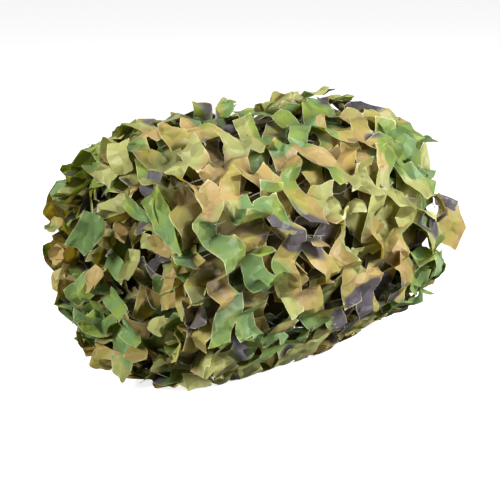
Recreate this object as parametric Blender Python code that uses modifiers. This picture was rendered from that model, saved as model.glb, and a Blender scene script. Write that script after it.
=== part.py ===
"""A camouflage net, rolled up: one solid of leaf-cut cloth wound into a roll.

The roll lies on its side along X and rests on the floor at z = 0. Its near end, at -X, is open:
the crumpled edges of the inner turns show as a spiral in a shallow bowl, and in front the outer
turn stands off from them with a channel between. The outer turn is cut through in staggered rows
of leaf-shaped gaps, and leaves of the cloth stand out of it.
All sizes are in metres. Angles round the roll run from the back, +Y, over the top to the front, -Y.
"""

import math

import bmesh
import bpy
import numpy as np
from mathutils import Matrix, Vector, noise

# The roll
ROLL_LENGTH = 0.332
HALF_WIDTH = 0.141  # at a section scale of 1
HALF_HEIGHT = 0.131
FLOOR_SAG = 0.006  # how far the round section is pressed into the floor
SECTION_STATIONS = (-0.5, -0.3, 0.0, 0.25, 0.4, 0.5)  # shares of the length, from the middle
SECTION_SCALES = (0.94, 1.02, 1.03, 1.03, 1.04, 0.91)
SECTION_SAMPLES = 41
SECTION_BLUR = 7  # how many of them are averaged to round the section's changes
STEPS_AROUND = 120
SIDE_STATIONS = 48
LUMP_SIZE = 0.080
LUMP_HEIGHT = 0.009
PUCKER_SIZE = 0.028
PUCKER_HEIGHT = 0.004
BODY_TRIANGLES = 1700
FOOT_HEIGHT = 0.0012  # what lies lower than this is pressed flat on the floor

# The leaf-shaped gaps, in rows across the roll
GAP_WIDTH = (0.016, 0.027)
GAP_LENGTH = (0.048, 0.066)
GAP_DEPTH = 0.016
GAP_ROWS = 8
GAPS_AROUND = 10
GAP_SLANT_DEG = (-26, 26)
GAP_SEED = 7
GAP_POINTS = 4  # along each side of a gap
FLOOR_ANGLES_DEG = (240, 300)  # no gap is cut and no leaf stands where the roll rests

# The wound ends
END_SHARES = (0.0, 0.16, 0.32, 0.46, 0.58, 0.68, 0.75, 0.80, 0.84, 0.87, 0.90, 0.93, 0.955, 0.98)
FACE_SINK = 0.012  # how far the ends' faces lie inside their rims, between the turns
FACE_SHARES = (0.93, 0.87)  # shares of the section over which they fall to that
BOWL_DEPTH = 0.022  # how much deeper the near end is in its middle
BOWL_SHARE = 0.75
CHANNEL_DEPTH = 0.050  # how deep the channel is between the outer turn and the inner ones, in front
CHANNEL_WALL = (0.965, 0.93)  # shares of the section over which the channel's outer wall falls
CHANNEL_SIDE = (0.84, 0.88)  # and where its inner side is
FAR_DEPTH = 0.016
END_UNDERCUT = 0.05  # how steeply the ends rise from the floor towards their middle
RIM_LOBE = 0.009
RIM_LOBE_SIZE = 0.045
RIM_OUT = 0.014  # how far the outer turn stands out past the near end, but not in front
TURN_THICKNESS = 0.004
TURN_HEIGHT = 0.040
TURN_SINK = 0.012
FIRST_TURN_RADIUS = 0.014
TURN_STEP = 0.019  # length of one facet along a turn's edge
TURN_WOBBLE = 0.006
TURN_LEAN = 0.008  # how far the edge of a turn folds over
TURN_LEAF = 0.030  # pitch of the leaves along a turn's edge

# The cloth
CLOTH_THICKNESS = 0.0024
ROOT_SINK = 0.006  # how deep the root of a leaf lies in the roll
LEAF_SEED = 11
LEAF_SHARE = 0.36  # of the gaps have a leaf beside them
LEAF_LENGTH = (0.030, 0.046)
LEAF_WIDTH = (0.022, 0.030)
LEAF_LIFT_DEG = (10, 28)

# Leaves that stand out on their own. around and heading are in degrees: heading 0 points along +X
# and 90 on around the roll. along, length and width are in metres.
LEAF_COLUMNS = ("along", "around", "heading", "length", "width", "lift", "twist", "tip")
LOOSE_LEAVES = (
    (0.150, 170, 22, 0.040, 0.058, 2, 0, "square"),  # the net's loose corner, past the far end
    (0.150, 200, 40, 0.030, 0.032, 16, 0, "square"),
    (0.148, 132, 70, 0.052, 0.024, 20, 10, "point"),
    (0.138, 106, -10, 0.040, 0.028, 10, -10, "point"),
    (0.122, 76, 115, 0.030, 0.026, 16, 0, "point"),
    (0.088, 80, 70, 0.032, 0.030, 14, 12, "square"),
    (-0.140, 56, 200, 0.030, 0.030, 18, 0, "point"),
    (-0.146, 8, 185, 0.028, 0.030, 8, 8, "round"),
    (-0.142, 300, 185, 0.036, 0.034, 4, 0, "square"),  # these two lie on the floor beside the mouth
    (-0.136, 277, 200, 0.032, 0.034, 4, 0, "point"),
)
TIP_SHARPNESS = {"round": 0.5, "square": 0.16, "point": 1.0}
LEAF_CELLS = (3, 1)  # along, across

GREEN = (0.16, 0.24, 0.08, 1.0)


def clear_scene():
    for obj in list(bpy.data.objects):
        bpy.data.objects.remove(obj)


def collection(name):
    found = bpy.data.collections.new(name)
    bpy.context.scene.collection.children.link(found)
    return found


def cloth_material():
    material = bpy.data.materials.new("camouflage_cloth")
    material.use_nodes = True
    shader = material.node_tree.nodes["Principled BSDF"]
    shader.inputs["Base Color"].default_value = GREEN
    shader.inputs["Roughness"].default_value = 0.55
    shader.inputs["Metallic"].default_value = 0.0
    return material


def ramp(value, start, end):
    """0 before start and 1 after end, smooth between them; start may be the larger."""
    share = min(1.0, max(0.0, (value - start) / (end - start)))
    return share * share * (3 - 2 * share)


def over_floor(angle):
    low, high = FLOOR_ANGLES_DEG
    return low < math.degrees(angle) % 360 < high


def section_scale(x):
    """The roll's section at x, as a share of its full size, smooth between the stations."""
    samples = np.linspace(-0.5, 0.5, SECTION_SAMPLES)
    coarse = np.interp(samples, SECTION_STATIONS, SECTION_SCALES)
    blur = np.ones(SECTION_BLUR) / SECTION_BLUR
    smooth = np.convolve(np.pad(coarse, SECTION_BLUR // 2, mode="edge"), blur, mode="valid")
    return float(np.interp(x / ROLL_LENGTH, samples, smooth))


def on_roll(x, angle, height=0.0, share=1.0):
    """A point height above the skin, or inside it at that share of the section, never below the floor."""
    scale = section_scale(x)
    centre = HALF_HEIGHT * scale - FLOOR_SAG
    y = (HALF_WIDTH * scale * share + height) * math.cos(angle)
    z = centre + (HALF_HEIGHT * scale * share + height) * math.sin(angle)
    return Vector((x, y, max(z, END_UNDERCUT * (1 - share))))


def lump(x, angle):
    """The roll's unevenness: slow lumps from how loosely it is wound, and the cloth's puckers on them."""
    place = Vector((x, HALF_WIDTH * math.cos(angle), HALF_WIDTH * math.sin(angle)))
    return LUMP_HEIGHT * noise.noise(place / LUMP_SIZE) + PUCKER_HEIGHT * noise.noise(place / PUCKER_SIZE)


def rim_lobe(angle, side):
    """How far the outer turn's edge wanders along the roll."""
    place = Vector((side, HALF_WIDTH * math.cos(angle), HALF_WIDTH * math.sin(angle))) / RIM_LOBE_SIZE
    out = RIM_OUT * ramp(math.cos(angle), -0.6, 0.2) if side < 0 else 0.0
    return RIM_LOBE * noise.noise(place) + out


def end_depth(share, angle, side):
    """How far an end's face lies inside its rim, in the near end's channel too."""
    sink = FACE_SINK * ramp(share, *FACE_SHARES)
    if side > 0:
        return sink + FAR_DEPTH * (1 - share**2)
    bowl = BOWL_DEPTH * max(0.0, 1 - (share / BOWL_SHARE) ** 2)
    front = ramp(-math.cos(angle), 0.0, 0.6)
    channel = CHANNEL_DEPTH * front * ramp(share, *CHANNEL_WALL) * ramp(share, *CHANNEL_SIDE)
    return max(sink + bowl, channel)


def roll_profile():
    """(x, share of the section) from the near end's middle, along the side, to the far end's middle."""
    half = ROLL_LENGTH / 2
    near = [(-half, share) for share in END_SHARES]
    side = [(x, 1.0) for x in np.linspace(-half, half, SIDE_STATIONS)]
    far = [(half, share) for share in END_SHARES[::-1]]
    return near + side + far


def shaped(place):
    """Where a point of the plain cylinder goes on the wound roll."""
    side = 1 if place.x > 0 else -1
    angle = math.atan2(place.z, place.y)
    share = math.hypot(place.y, place.z) / HALF_WIDTH
    half = ROLL_LENGTH / 2
    point = on_roll(place.x, angle, lump(place.x, angle) * share, share)
    if half - abs(place.x) < 1e-6:
        point.x -= side * end_depth(share, angle, side)
    rim = ramp(abs(place.x), half - RIM_LOBE_SIZE, half) * ramp(share, 0.85, 0.95)
    point.x += side * rim * rim_lobe(angle, side)
    return point


def roll_body(home):
    """The roll without its gaps and leaves: a turned profile, shaped by the sag, the lumps and the ends."""
    profile = roll_profile()
    mesh = bpy.data.meshes.new("roll_profile")
    points = [(x, 0.0, HALF_WIDTH * share) for x, share in profile]
    mesh.from_pydata(points, [(i, i + 1) for i in range(len(points) - 1)], [])
    turned = bpy.data.objects.new("turned_roll", mesh)
    home.objects.link(turned)
    screw = turned.modifiers.new("turn", "SCREW")
    screw.axis = "X"
    screw.steps = screw.render_steps = STEPS_AROUND
    screw.use_merge_vertices = True
    screw.merge_threshold = 0.0001
    body = as_mesh(turned, "fine_roll", home)
    for vertex in body.data.vertices:
        vertex.co = shaped(vertex.co)
    face_outwards(body)
    return body


def as_mesh(obj, name, home):
    """The evaluated object as a plain mesh object, which takes its place."""
    graph = bpy.context.evaluated_depsgraph_get()
    mesh = bpy.data.meshes.new_from_object(obj.evaluated_get(graph))
    made = bpy.data.objects.new(name, mesh)
    made.matrix_world = obj.matrix_world.copy()
    home.objects.link(made)
    bpy.data.objects.remove(obj)
    return made


def face_outwards(obj):
    shape = bmesh.new()
    shape.from_mesh(obj.data)
    bmesh.ops.remove_doubles(shape, verts=shape.verts, dist=0.00005)
    bmesh.ops.recalc_face_normals(shape, faces=shape.faces)
    shape.to_mesh(obj.data)
    shape.free()


def solid_grid(name, cells, place, thickness, home):
    """A thick grid of cells. place says where a point goes, from 0 to 1 along it and -1 to 1 across."""
    shape = bmesh.new()
    bmesh.ops.create_grid(shape, x_segments=cells[0], y_segments=cells[1], size=1.0)
    for vertex in shape.verts:
        vertex.co = place((vertex.co.x + 1) / 2, vertex.co.y)
    mesh = bpy.data.meshes.new(name)
    shape.to_mesh(mesh)
    shape.free()
    obj = bpy.data.objects.new(name, mesh)
    home.objects.link(obj)
    solidify = obj.modifiers.new("thickness", "SOLIDIFY")
    solidify.thickness = thickness
    solidify.offset = 0.0
    solid = as_mesh(obj, name, home)
    face_outwards(solid)
    return solid


def gap_places():
    """(x, angle, length, width, slant) of each gap: staggered rows, each gap a little different."""
    random = np.random.default_rng(GAP_SEED)
    row_pitch = ROLL_LENGTH / GAP_ROWS
    for row in range(GAP_ROWS):
        for i in range(GAPS_AROUND):
            x = (row + 0.5) * row_pitch - ROLL_LENGTH / 2 + random.uniform(-0.003, 0.003)
            angle = math.tau * (i + 0.5 * (row % 2) + random.uniform(-0.08, 0.08)) / GAPS_AROUND
            length = random.uniform(*GAP_LENGTH)
            width = random.uniform(*GAP_WIDTH)
            slant = math.radians(random.uniform(*GAP_SLANT_DEG))
            if not over_floor(angle):
                yield x, angle, length, width, slant


def gap_cutter(name, x, angle, length, width, slant, home):
    """A leaf-shaped plug through the outer turn, bent into a slight S."""
    rise = 3 * GAP_DEPTH

    def place(u, w):
        reach = (u - 0.5) * length
        leaf = math.sqrt(max(0.0, 1 - (2 * u - 1) ** 2)) + 0.04
        side = 0.5 * width * w * leaf + 0.25 * width * math.sin(math.tau * u)
        along = side * math.cos(slant) + reach * math.sin(slant)
        around = reach * math.cos(slant) - side * math.sin(slant)
        return on_roll(x + along, angle + around / HALF_WIDTH, rise / 2 - GAP_DEPTH)

    return solid_grid(name, (GAP_POINTS, 1), place, rise, home)


def leaf(name, row, home):
    """One leaf of the cut cloth: rooted in the roll, it lifts, bends back over and narrows to its tip."""
    spec = dict(zip(LEAF_COLUMNS, row))
    heading = math.radians(spec["heading"])
    lift = math.tan(math.radians(spec["lift"]))
    twist = math.radians(spec["twist"])
    sharpness = TIP_SHARPNESS[spec["tip"]]
    around = math.radians(spec["around"])
    start = on_roll(spec["along"], around, lump(spec["along"], around))
    normal = Vector((0.0, math.cos(around), math.sin(around)))
    along_roll = Vector((1.0, 0.0, 0.0))
    round_roll = normal.cross(along_roll) * -1
    forward = along_roll * math.cos(heading) + round_roll * math.sin(heading)
    sideways = normal.cross(forward)

    def place(u, w):
        narrow = 1 - 0.85 * sharpness * max(0.0, u - 0.5) / 0.5
        if spec["tip"] == "round":
            narrow = math.sqrt(max(0.05, 1 - max(0.0, (u - 0.55) / 0.48) ** 2))
        reach = spec["length"] * u
        side = 0.5 * spec["width"] * w * narrow
        rise = lift * reach * (1 - 0.35 * u) - ROOT_SINK * (1 - u) ** 2
        off_round = reach * math.sin(heading) + side * math.cos(heading)
        height = rise - off_round**2 / (2 * HALF_WIDTH) + side * math.tan(twist) * u
        point = start + forward * reach + sideways * side + normal * height
        point.z = max(point.z, CLOTH_THICKNESS / 2)
        return point

    return solid_grid(name, LEAF_CELLS, place, CLOTH_THICKNESS, home)


def gap_leaves():
    """Rows for the leaves that stand out beside some of the gaps, each rooted on one side of its gap."""
    random = np.random.default_rng(LEAF_SEED)
    for x, angle, _, width, slant in gap_places():
        if random.uniform() > LEAF_SHARE:
            continue
        side = random.choice((-1, 1))
        heading = math.degrees(slant) + (0 if side < 0 else 180) + random.uniform(-55, 55)
        yield (
            x + side * (width / 2 + 0.004),
            math.degrees(angle),
            heading,
            random.uniform(*LEAF_LENGTH),
            random.uniform(*LEAF_WIDTH),
            random.uniform(*LEAF_LIFT_DEG),
            random.uniform(-14, 14),
            ("round", "square", "point")[random.integers(3)],
        )


def turn_edge(name, side, turns, pitch, seed, home):
    """The spiral edge of the inner turns, standing out of one end of the roll (side -1 or +1)."""
    length = math.pi * turns * (2 * FIRST_TURN_RADIUS + turns * pitch)
    cells = (int(length / TURN_STEP), 1)
    end = side * ROLL_LENGTH / 2
    scale = section_scale(end)
    squash = HALF_HEIGHT / HALF_WIDTH

    def place(u, w):
        # Even steps of length along a spiral whose radius grows with the turn
        first, last = FIRST_TURN_RADIUS, FIRST_TURN_RADIUS + turns * pitch
        radius = math.sqrt(first**2 + u * (last**2 - first**2))
        angle = math.tau * (radius - first) / pitch + seed
        spot = Vector((radius * math.cos(angle), radius * math.sin(angle), seed))
        share = min(1.0, radius / (HALF_WIDTH * scale))
        depth = end_depth(share, angle, side)
        radius += TURN_WOBBLE * noise.noise(spot / 0.024) * (1.5 + w)
        radius += TURN_LEAN * max(0.0, w) * noise.noise(spot / 0.017 + Vector((5, 0, 0)))
        lobe = abs(math.sin(math.pi * u * length / TURN_LEAF + 2 * noise.noise(spot / 0.05)))
        out = -TURN_SINK + (TURN_SINK + TURN_HEIGHT * (0.55 + 0.45 * lobe)) * (w + 1) / 2
        y = radius * math.cos(angle)
        z = HALF_HEIGHT * scale - FLOOR_SAG + radius * math.sin(angle) * squash
        return Vector((end + side * (out - depth), y, z))

    return solid_grid(name, cells, place, TURN_THICKNESS, home)


def lightened(body, home, triangles):
    """The body with its mesh brought down to a number of triangles, its foot still flat."""
    thin = body.modifiers.new("lighten", "DECIMATE")
    thin.decimate_type = "COLLAPSE"
    thin.ratio = triangles / sum(len(face.vertices) - 2 for face in body.data.polygons)
    light = as_mesh(body, "bare_roll", home)
    for vertex in light.data.vertices:
        if vertex.co.z < FOOT_HEIGHT:
            vertex.co.z = 0.0
    return light


def combined(body, operation, solver, pieces, name, home):
    """The body with a collection of pieces cut from it or joined to it, and no void shut in by that."""
    boolean = body.modifiers.new(operation.lower(), "BOOLEAN")
    boolean.operation = operation
    boolean.operand_type = "COLLECTION"
    boolean.collection = pieces
    boolean.solver = solver
    whole = as_mesh(body, name, home)
    shape = bmesh.new()
    shape.from_mesh(whole.data)
    shells = shells_of(shape)
    inner = [face for shell in shells[1:] for face in shell]
    bmesh.ops.delete(shape, geom=inner, context="FACES")
    shape.to_mesh(whole.data)
    shape.free()
    for piece in pieces.objects:
        piece.hide_render = True
        piece.display_type = "WIRE"
    return whole


def shells_of(shape):
    """The faces of each closed surface in the mesh, the largest first."""
    unseen, shells = set(shape.faces), []
    while unseen:
        waiting = [unseen.pop()]
        shell = []
        while waiting:
            face = waiting.pop()
            shell.append(face)
            beside = {other for edge in face.edges for other in edge.link_faces} & unseen
            unseen -= beside
            waiting.extend(beside)
        shells.append(shell)
    return sorted(shells, key=len, reverse=True)


def stood_at_origin(obj):
    """Moves the shape so that the bottom centre of its box, loose corner and all, is the origin."""
    places = np.array([vertex.co for vertex in obj.data.vertices])
    low, high = places.min(axis=0), places.max(axis=0)
    obj.data.transform(Matrix.Translation((-(low[0] + high[0]) / 2, -(low[1] + high[1]) / 2, -low[2])))


def main():
    clear_scene()
    part = collection("camouflage_net")
    gaps = collection("gap_cutters")
    leaves = collection("fused_leaves")
    body = lightened(roll_body(part), part, BODY_TRIANGLES)
    for i, gap in enumerate(gap_places()):
        gap_cutter(f"gap_{i}", *gap, gaps)
    for i, row in enumerate(LOOSE_LEAVES):
        leaf(f"loose_leaf_{i}", row, leaves)
    for i, row in enumerate(gap_leaves()):
        leaf(f"leaf_{i}", row, leaves)
    turn_edge("near_turns", side=-1, turns=4.6, pitch=0.021, seed=1.3, home=leaves)
    turn_edge("far_turns", side=1, turns=3.2, pitch=0.030, seed=4.0, home=leaves)
    cut = combined(body, "DIFFERENCE", "EXACT", gaps, "cut_roll", part)
    # The leaves cross one another, which the exact solver leaves as edges with four faces
    net = combined(cut, "UNION", "MANIFOLD", leaves, "net_roll", part)
    stood_at_origin(net)
    net.data.materials.clear()
    net.data.materials.append(cloth_material())
    net.data.shade_smooth()


main()
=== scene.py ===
"""A leaf-cut woodland camouflage net, rolled up by hand and lying on its side.

The roll's axis runs along X and it rests on z = 0. Angles round it run from the back, +Y, over the
top to the front, -Y. The near end is the one towards -X.
"""

import math

import bpy
import numpy as np
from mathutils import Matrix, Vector, noise


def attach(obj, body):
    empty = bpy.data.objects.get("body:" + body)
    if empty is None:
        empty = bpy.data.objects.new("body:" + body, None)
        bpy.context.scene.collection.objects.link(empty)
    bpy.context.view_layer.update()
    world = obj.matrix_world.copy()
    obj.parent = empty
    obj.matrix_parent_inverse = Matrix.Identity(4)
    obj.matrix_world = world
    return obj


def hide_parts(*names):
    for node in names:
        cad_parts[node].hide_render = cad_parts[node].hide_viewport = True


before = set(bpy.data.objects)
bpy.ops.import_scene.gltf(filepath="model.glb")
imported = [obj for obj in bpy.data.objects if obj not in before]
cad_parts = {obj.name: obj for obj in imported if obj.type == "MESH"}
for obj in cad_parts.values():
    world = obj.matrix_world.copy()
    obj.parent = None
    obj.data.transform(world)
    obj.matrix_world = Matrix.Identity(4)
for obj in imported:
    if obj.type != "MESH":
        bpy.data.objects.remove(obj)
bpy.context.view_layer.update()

# The roll's skin, as in the part's source
MIDDLE = Vector((-0.0012, -0.0003, 0.0))
ROLL_LENGTH = 0.332
HALF_WIDTH = 0.141
HALF_HEIGHT = 0.131
FLOOR_SAG = 0.006
SECTION_STATIONS = (-0.5, -0.3, 0.0, 0.25, 0.4, 0.5)
SECTION_SCALES = (0.94, 1.02, 1.03, 1.03, 1.04, 0.91)
SECTION_SAMPLES = 41
SECTION_BLUR = 7
LUMP_SIZE = 0.080
LUMP_HEIGHT = 0.009
PUCKER_SIZE = 0.028
PUCKER_HEIGHT = 0.004

# The leaf-cut cloth: strips that meet at short junctions between staggered slits
CELL = 0.0044
STRIP = 6  # cells across a strip
PERIOD = 18  # cells from one slit's start to the next one's
SLIT = 15
SIDE_CUT = 4
WAVE = 0.005
TONGUE = 6  # the longest free end of a strip, in cells
TONGUE_WIDTHS = (5, 10)  # in cells
TONGUE_DEPTHS = (5, 8)
TONGUE_SHAPES = (0.0, 0.15, 0.45, 0.8, 0.95)  # how much narrower the tip is than the root
FACET = 0.0145
CREASE = 0.85
CREASE_GIVE = 0.1  # how much of its stiffness a sharp bend keeps
APART_EVERY = 6  # rounds of settling
FLATTEN_EVERY = 3
NEIGHBOUR_CELLS = 3.2  # what lies closer in the cloth isn't pushed apart
FLOOR_CLEARANCE = 0.0006

# The camera: how far it is turned and raised from the front, its distance, and where it aims
VIEW_TURN_DEG = 42.2
VIEW_RISE_DEG = 15.7
VIEW_DISTANCE = 1.50
VIEW_HEIGHT = 0.1325
VIEW_RIGHT = -0.002
VIEW_UP = -0.024
VIEW_FOCUS = 1418  # its focal length, in pixels
VIEW_SIZE = 500  # the view's sides, in pixels
SENSOR_MM = 36


def ripple(places, size, seed, waves=18):
    """Smooth random heights of about one unit at places, with bumps of a given size."""
    rng = np.random.default_rng(seed)
    turns = rng.normal(size=(waves, places.shape[1]))
    turns /= np.linalg.norm(turns, axis=1)[:, None]
    turns *= math.tau / size * rng.uniform(0.6, 1.5, waves)[:, None]
    phases = rng.uniform(0, math.tau, waves)
    return np.sin(places @ turns.T + phases).sum(axis=1) / math.sqrt(waves / 2)


def added(name, data):
    obj = bpy.data.objects.new(name, data)
    bpy.context.collection.objects.link(obj)
    return obj


def section_scale(x):
    samples = np.linspace(-0.5, 0.5, SECTION_SAMPLES)
    scales = np.interp(samples, SECTION_STATIONS, SECTION_SCALES)
    edge = SECTION_BLUR // 2
    padded = np.pad(scales, edge, mode="edge")
    smooth = np.convolve(padded, np.ones(SECTION_BLUR) / SECTION_BLUR, mode="valid")
    return np.interp(np.asarray(x) / ROLL_LENGTH, samples, smooth)


def lump_table():
    """Heights of the roll's lumps over a grid of places along it and angles round it."""
    alongs = np.linspace(-0.5, 0.5, 49) * ROLL_LENGTH
    angles = np.linspace(0, math.tau, 145)
    table = np.zeros((len(alongs), len(angles)))
    for i, x in enumerate(alongs):
        for k, angle in enumerate(angles):
            place = Vector((x, HALF_WIDTH * math.cos(angle), HALF_WIDTH * math.sin(angle)))
            coarse = LUMP_HEIGHT * noise.noise(place / LUMP_SIZE)
            table[i, k] = coarse + PUCKER_HEIGHT * noise.noise(place / PUCKER_SIZE)
    return table


LUMPS = lump_table()


def lump(x, angle):
    rows, columns = LUMPS.shape
    row = np.clip((np.asarray(x) / ROLL_LENGTH + 0.5) * (rows - 1), 0, rows - 1.001)
    column = np.mod(angle, math.tau) / math.tau * (columns - 1)
    i, k = row.astype(int), np.minimum(column.astype(int), columns - 2)
    f, g = row - i, column - k
    near = LUMPS[i, k] * (1 - g) + LUMPS[i, k + 1] * g
    far = LUMPS[i + 1, k] * (1 - g) + LUMPS[i + 1, k + 1] * g
    return near * (1 - f) + far * f


def on_roll(x, angle, height):
    """Places on the roll's skin, or above it, with x measured from the roll's middle."""
    scale = section_scale(x)
    centre = HALF_HEIGHT * scale - FLOOR_SAG
    y = (HALF_WIDTH * scale + height) * np.cos(angle)
    z = centre + (HALF_HEIGHT * scale + height) * np.sin(angle)
    return np.stack([x, y, z], axis=-1)


def height_on_roll(places):
    """How far places are above the roll's smooth skin, and their angles round it."""
    scale = section_scale(places[:, 0])
    centre = HALF_HEIGHT * scale - FLOOR_SAG
    y = places[:, 1] / HALF_WIDTH
    z = (places[:, 2] - centre) / HALF_HEIGHT
    share = np.hypot(y, z)
    mean = (HALF_WIDTH + HALF_HEIGHT) / 2
    return (share - scale) * mean, np.arctan2(z, y), share


def sides_of(faces):
    """The four sides of every face, as pairs of vertices."""
    return np.concatenate([faces[:, [k, (k + 1) % 4]] for k in range(4)])


class Cloth:
    """A grid of cells with cuts between some of them, as flat places, faces and springs."""

    def __init__(self, across, along, seed):
        self.across, self.along = across, along
        self.rng = np.random.default_rng(seed)
        self.cut_along = np.zeros((across + 1, along), bool)
        self.cut_across = np.zeros((across, along + 1), bool)
        self.lift = np.zeros((across, along, 4))
        self.slide = np.zeros((across, along, 4))

    def slits(self, first, last, side_share, cross_share, whole=()):
        """Cuts slits along every strip's border from line first to last, with side cuts off them.

        No slit is cut in the rows named in whole on the lines up to the one that goes with them.
        """
        rng = self.rng
        for line in range(first, last + 1, STRIP):
            start = -PERIOD + (PERIOD // 2) * (line // STRIP % 2)
            while start < self.along:
                a = start + int(rng.integers(-1, 2))
                b = a + SLIT + int(rng.integers(-1, 2))
                if any(line <= up_to and b > low and a < high for low, high, up_to in whole):
                    start += PERIOD
                    continue
                self.cut_along[line, max(a, 0) : max(b, 0)] = True
                if rng.random() < cross_share and line + STRIP < self.across:
                    self.cross_cut(line, start + PERIOD // 2 + 2 + int(rng.integers(-1, 2)))
                else:
                    for side, at in ((1, 4), (-1, 10)):
                        if rng.random() < side_share:
                            self.side_cut(line, side, a + at + int(rng.integers(-1, 2)))
                start += PERIOD

    def cross_cut(self, line, row):
        """Cuts a strip right across, so that both its ends hang free and fold over."""
        if row <= TONGUE or row >= self.along - TONGUE:
            return
        cells = slice(line, line + STRIP)
        self.cut_across[cells, row] = True
        rng = self.rng
        for way in (1, -1):
            angle = math.radians(rng.uniform(100, 165) if rng.random() < 0.3 else rng.uniform(10, 85))
            length = int(rng.integers(3, TONGUE + 1))
            crease = row + way * length
            for step in range(length):
                j = row + step if way > 0 else row - 1 - step
                for corner, at in enumerate((j, j, j + 1, j + 1)):
                    down = max(0.0, way * (crease - at)) * CELL
                    self.lift[cells, j, corner] += down * math.sin(angle)
                    self.slide[cells, j, corner] += way * down * (1 - math.cos(angle))

    def side_cut(self, line, side, row):
        first = line if side > 0 else line - SIDE_CUT
        last = first + SIDE_CUT
        if row <= 1 or row >= self.along - 1 or first < 0 or last > self.across:
            return
        self.cut_across[first:last, row] = True
        # The corner on one side of the cut stands up, the other dips
        rise = self.rng.uniform(0.3, 1.0)
        for step in range(6):
            for cell in range(SIDE_CUT):
                i = line + cell if side > 0 else line - 1 - cell
                near = 0.014 * math.exp(-((cell + 0.5) / 3.0) ** 2 - ((step + 0.5) / 4.0) ** 2)
                if row + step < self.along:
                    self.lift[i, row + step] += rise * near
                if row - 1 - step >= 0:
                    self.lift[i, row - 1 - step] -= 0.4 * rise * near

    def tongues(self, widths, depths):
        """Cuts the free edge into tongues, and says which of them each cell along it is in."""
        j = 0
        self.tongue = np.full(self.along, -1)
        self.tongue_start, self.tongue_width, self.tongue_shape = [], [], []
        while j < self.along:
            width = int(self.rng.integers(widths[0], widths[1] + 1))
            depth = int(self.rng.integers(depths[0], depths[1] + 1))
            end = min(j + width, self.along)
            self.tongue[j:end] = len(self.tongue_start)
            self.tongue_start.append(j)
            self.tongue_width.append(end - j)
            self.tongue_shape.append(self.rng.choice(TONGUE_SHAPES))
            self.cut_across[self.across - depth :, end if end < self.along else j] = True
            j = end

    def build(self, flat_of):
        """Joins the cells into vertices wherever no cut runs between them."""
        across, along = self.across, self.along
        cell = -np.ones((across + 2, along + 2), int)
        cell[1:-1, 1:-1] = np.arange(across * along).reshape(across, along)
        south_west, south_east = cell[:-1, :-1], cell[1:, :-1]
        north_east, north_west = cell[1:, 1:], cell[:-1, 1:]
        cut_v = np.ones((across + 1, along + 2), bool)
        cut_v[:, 1:-1] = self.cut_along
        cut_u = np.ones((across + 2, along + 1), bool)
        cut_u[1:-1, :] = self.cut_across
        pairs = (
            (0, 1, ~cut_v[:, :-1] & (south_west >= 0) & (south_east >= 0)),
            (1, 2, ~cut_u[1:, :] & (south_east >= 0) & (north_east >= 0)),
            (2, 3, ~cut_v[:, 1:] & (north_east >= 0) & (north_west >= 0)),
            (3, 0, ~cut_u[:-1, :] & (north_west >= 0) & (south_west >= 0)),
        )
        label = np.tile(np.arange(4), (across + 1, along + 1, 1))
        for _ in range(3):
            for a, b, joined in pairs:
                low = np.minimum(label[..., a], label[..., b])
                label[..., a] = np.where(joined, low, label[..., a])
                label[..., b] = np.where(joined, low, label[..., b])
        places = np.arange((across + 1) * (along + 1)).reshape(across + 1, along + 1)
        keys = places[..., None] * 4 + label
        corners = np.stack(
            [keys[:-1, :-1, 2], keys[1:, :-1, 3], keys[1:, 1:, 0], keys[:-1, 1:, 1]], axis=-1
        )
        corners = corners.reshape(-1, 4)
        used, faces = np.unique(corners, return_inverse=True)
        self.faces = faces.reshape(corners.shape)
        i, j = np.indices((across, along)).reshape(2, -1)
        corner_i = np.stack([i, i + 1, i + 1, i], axis=-1)
        corner_j = np.stack([j, j, j + 1, j + 1], axis=-1)
        flat = flat_of(corner_i, corner_j)
        counts = np.bincount(self.faces.ravel(), minlength=len(used)).astype(float)

        def mean(values):
            return np.bincount(self.faces.ravel(), values.ravel(), len(used)) / counts

        self.flat = np.stack([mean(flat[..., 0]), mean(flat[..., 1])], axis=-1)
        self.rise = mean(self.lift.reshape(-1, 4))
        self.back = mean(self.slide.reshape(-1, 4))
        self.line = mean(corner_i.astype(float))
        self.row = mean(corner_j.astype(float))
        self.springs()
        self.facets(i)

    def facets(self, i):
        """Parts each strip into small patches that stay flat, as stiff coated cloth creases."""
        middle = self.flat[self.faces].mean(axis=1)
        square = np.floor(middle / FACET).astype(int)
        size = square.max(axis=0) + 4
        jitter = self.rng.uniform(0.05, 0.95, (size[0], size[1], 2))
        best, seed = np.full(len(middle), 1e9), np.zeros(len(middle), int)
        for step in np.ndindex(3, 3):
            near = np.clip(square + np.array(step) - 1, -1, None) + 1
            spot = (near - 1 + jitter[near[:, 0], near[:, 1]]) * FACET
            far = np.linalg.norm(middle - spot, axis=1)
            closer = far < best
            best[closer] = far[closer]
            seed[closer] = (near[:, 0] * size[1] + near[:, 1])[closer]
        seed = seed * (self.across // STRIP + 1) + i // STRIP
        label = np.arange(len(self.faces))
        sides = sides_of(self.faces)
        owner = np.tile(label, 4)
        order = np.lexsort(np.sort(sides, axis=1).T)
        sides, owner = np.sort(sides, axis=1)[order], owner[order]
        same = (sides[1:] == sides[:-1]).all(axis=1)
        a, b = owner[:-1][same], owner[1:][same]
        joined = seed[a] == seed[b]
        a, b = a[joined], b[joined]
        for _ in range(12):
            low = np.minimum(label[a], label[b])
            np.minimum.at(label, a, low)
            np.minimum.at(label, b, low)
        self.patch = np.unique(label, return_inverse=True)[1]

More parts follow.
